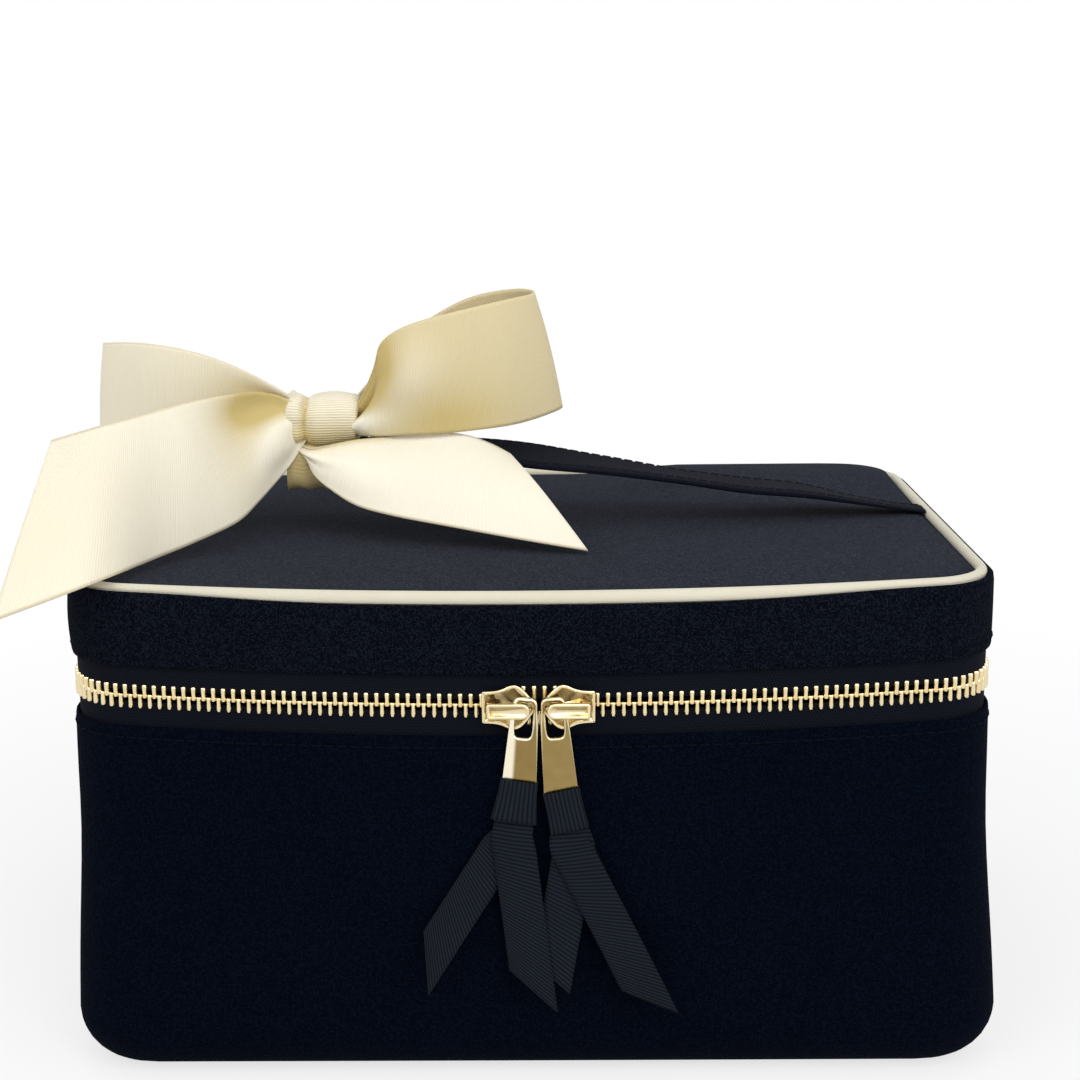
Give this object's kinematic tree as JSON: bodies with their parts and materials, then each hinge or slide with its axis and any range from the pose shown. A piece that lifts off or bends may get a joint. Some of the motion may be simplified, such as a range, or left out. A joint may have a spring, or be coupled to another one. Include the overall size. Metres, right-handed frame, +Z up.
{
  "type": "makeup bag",
  "caption": "Box-shaped canvas makeup bag with a piped lid on a cloth hinge, a two-way metal zip with ribboned pulls, a strap handle and a tied ribbon bow",
  "frame": {"origin": "centre of the base on the floor", "axes": "X to the right along the width, Y to the back, Z up"},
  "size_m": [0.2422, 0.1696, 0.188],
  "materials": {
    "canvas": "fine plain weave, matt",
    "bow_ribbon": "fine ribbed ribbon, soft sheen",
    "piping": "smooth covered cord",
    "zip_metal": "polished",
    "pull_ribbon": "cross-ribbed, matt",
    "lining": "smooth, matt",
    "foam": "soft, matt",
    "board": "matt",
    "zip_tape": "woven, matt"
  },
  "bodies": {
    "body": {"body_wall": "canvas", "base_panel": "canvas", "base_board": "board", "body_padding": "foam", "body_lining": "lining", "lining_floor": "lining", "lower_zip_tape": "zip_tape", "lower_zip_teeth": "zip_metal", "hinge_cloth_lower": "canvas"},
    "lid": {"lid_band": "canvas", "lid_piping": "piping", "lid_top": "canvas", "lid_padding": "foam", "lid_lining": "lining", "upper_zip_tape": "zip_tape", "upper_zip_teeth": "zip_metal", "hinge_cloth_upper": "canvas", "handle_end_left": "canvas", "handle_end_right": "canvas"},
    "handle": {"handle_strap": "canvas", "bow_knot": "bow_ribbon", "bow_loop_left": "bow_ribbon", "bow_loop_right": "bow_ribbon", "bow_tail_left": "bow_ribbon", "bow_tail_right": "bow_ribbon"},
    "slider_left": {"slider_body_left": "zip_metal", "slider_crown_left": "zip_metal"},
    "pull_left": {"pull_tab_left": "zip_metal", "pull_hitch_left": "pull_ribbon"},
    "tails_left": {"pull_tails_left": "pull_ribbon"},
    "slider_right": {"slider_body_right": "zip_metal", "slider_crown_right": "zip_metal"},
    "pull_right": {"pull_tab_right": "zip_metal", "pull_hitch_right": "pull_ribbon"},
    "tails_right": {"pull_tails_right": "pull_ribbon"}
  },
  "joints": [
    {"name": "lid_hinge", "type": "hinge", "parent": "body", "child": "lid", "pos_m": [0, 0.0825, 0.097], "axis": [-1, 0, 0], "range_deg": [0, 110]},
    {"name": "handle_swing", "type": "hinge", "parent": "lid", "child": "handle", "pos_m": [-0.092, 0, 0.1324], "axis": [0.9998, 0.0201, 0.008], "range_deg": [-25, 25], "deforming": ["bow_tail_left", "bow_tail_right"]},
    {"name": "left_slider_run", "type": "hinge", "parent": "body", "child": "slider_left", "pos_m": [0, 0.4175, 0.097], "axis": [0, 0, -1], "range_deg": [0, 8.4], "deforming": ["lower_zip_teeth", "upper_zip_teeth", "pull_tails_left"]},
    {"name": "right_slider_run", "type": "hinge", "parent": "body", "child": "slider_right", "pos_m": [0, 0.4175, 0.097], "axis": [0, 0, 1], "range_deg": [0, 8], "deforming": ["lower_zip_teeth", "upper_zip_teeth", "pull_tails_right"]},
    {"name": "left_pull_swing", "type": "hinge", "parent": "slider_left", "child": "pull_left", "pos_m": [-0.00159, -0.08111, 0.097], "axis": [0.0092, 1, 0], "range_deg": [0, 28]},
    {"name": "right_pull_swing", "type": "hinge", "parent": "slider_right", "child": "pull_right", "pos_m": [0.00617, -0.08107, 0.097], "axis": [0.0184, -0.9998, 0], "range_deg": [0, 28]},
    {"name": "left_tails_lift", "type": "hinge", "parent": "pull_left", "child": "tails_left", "pos_m": [-0.00309, -0.08505, 0.06894], "axis": [-0.9986, 0.0092, 0.0523], "range_deg": [0, 75]},
    {"name": "right_tails_lift", "type": "hinge", "parent": "pull_right", "child": "tails_right", "pos_m": [0.01051, -0.08495, 0.0667], "axis": [-0.9901, -0.0182, -0.1392], "range_deg": [0, 75], "deforming": ["pull_tails_left"]}
  ]
}
